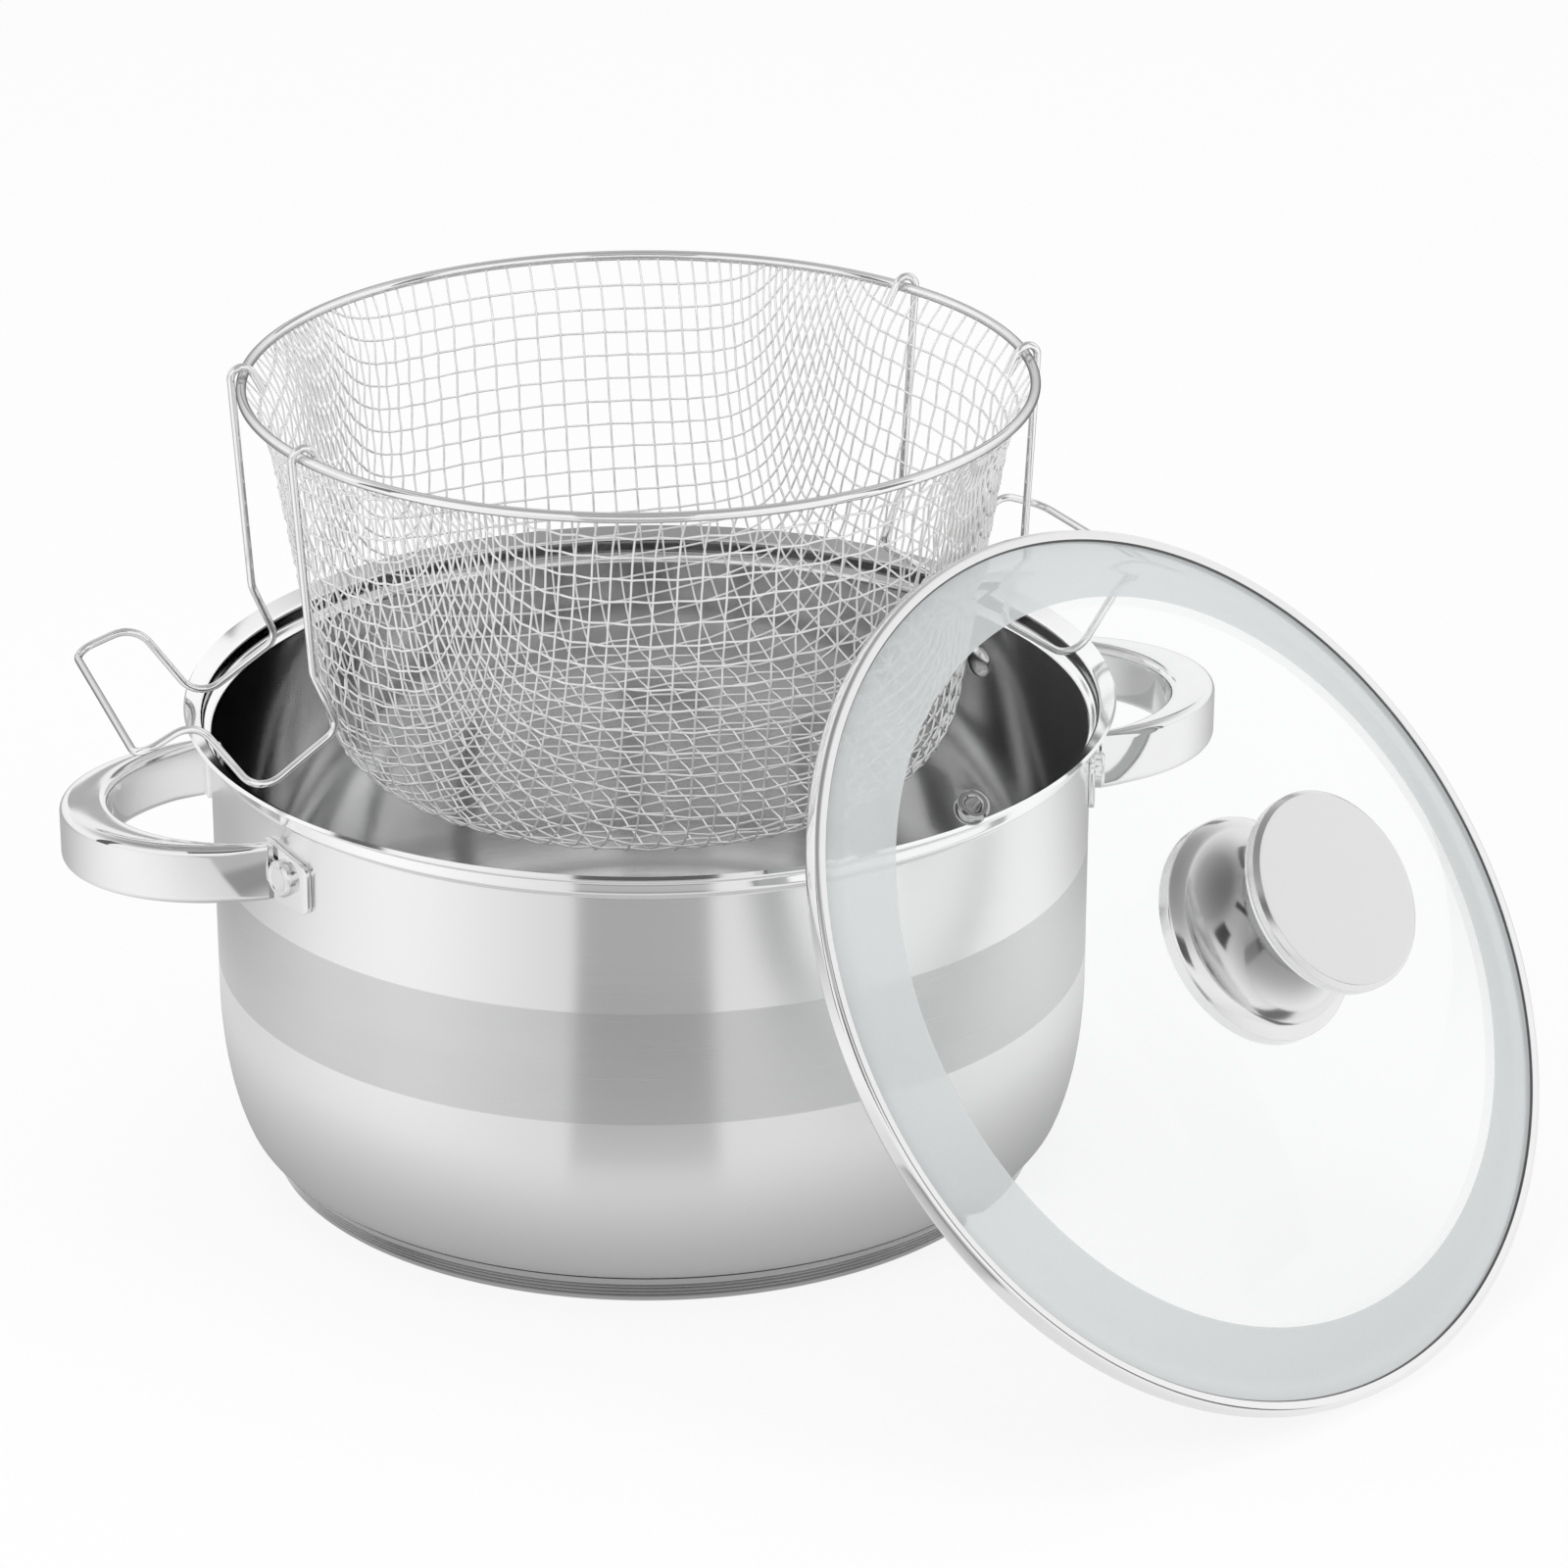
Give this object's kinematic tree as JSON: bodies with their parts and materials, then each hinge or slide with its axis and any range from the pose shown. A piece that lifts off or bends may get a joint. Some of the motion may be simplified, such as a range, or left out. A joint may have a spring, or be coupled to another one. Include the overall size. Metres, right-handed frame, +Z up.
{
  "type": "stovetop deep fryer",
  "caption": "Stovetop deep fryer: lidded steel pot with loop handles, a woven wire basket hung up to drain on two bent-wire handles, and a domed glass lid leaning beside it.",
  "frame": {"origin": "centre of the pot's flat base on the floor", "axes": "+Z up, +X through the middle of one loop handle, +Y away from the side where the lid leans"},
  "size_m": [0.3791, 0.3606, 0.2267],
  "materials": {
    "brushed_steel_pot": "satin brushed stainless steel",
    "polished_steel": "mirror polished stainless steel",
    "bright_wire": "bright electropolished steel wire",
    "aluminium_core": "plain aluminium",
    "lid_glass": "clear tempered glass with a frosted edge ring",
    "silicone": "matt grey silicone"
  },
  "bodies": {
    "pot": {"pot_body": "brushed_steel_pot", "base_cap": "polished_steel", "base_core": "aluminium_core", "pot_handle_left": "polished_steel", "pot_handle_right": "polished_steel", "lug_left_front": "polished_steel", "lug_left_back": "polished_steel", "lug_right_front": "polished_steel", "lug_right_back": "polished_steel", "rivets_left": "polished_steel", "rivets_right": "polished_steel"},
    "basket": {"basket_rim_ring": "bright_wire", "basket_mesh_warp": "bright_wire", "basket_mesh_weft": "bright_wire"},
    "handle_left": {"basket_handle_left": "bright_wire"},
    "handle_right": {"basket_handle_right": "bright_wire"},
    "lid": {"lid_glass": "lid_glass", "lid_band": "polished_steel", "vent_eyelet": "polished_steel", "knob_base": "polished_steel", "knob_cap": "brushed_steel_pot", "knob_insert": "aluminium_core", "knob_gasket": "silicone", "knob_washer": "polished_steel", "knob_screw": "polished_steel"}
  },
  "joints": [
    {"name": "basket_lift", "type": "slide", "parent": "pot", "child": "basket", "axis": [0, 0, 1], "range_m": [0, 0.15]},
    {"name": "handle_right_swing", "type": "hinge", "parent": "basket", "child": "handle_right", "pos_m": [0.09795, 0.01873, 0.2225], "axis": [0.1702, -0.9854, 0], "range_deg": [0, 270]},
    {"name": "handle_left_swing", "type": "hinge", "parent": "basket", "child": "handle_left", "pos_m": [-0.10302, 0.0015, 0.2225], "axis": [0, 1, 0], "range_deg": [0, 270]},
    {"name": "lid_away", "type": "slide", "parent": "pot", "child": "lid", "axis": [0.3793, -0.7016, 0.6032], "range_m": [0, 0.2]}
  ]
}
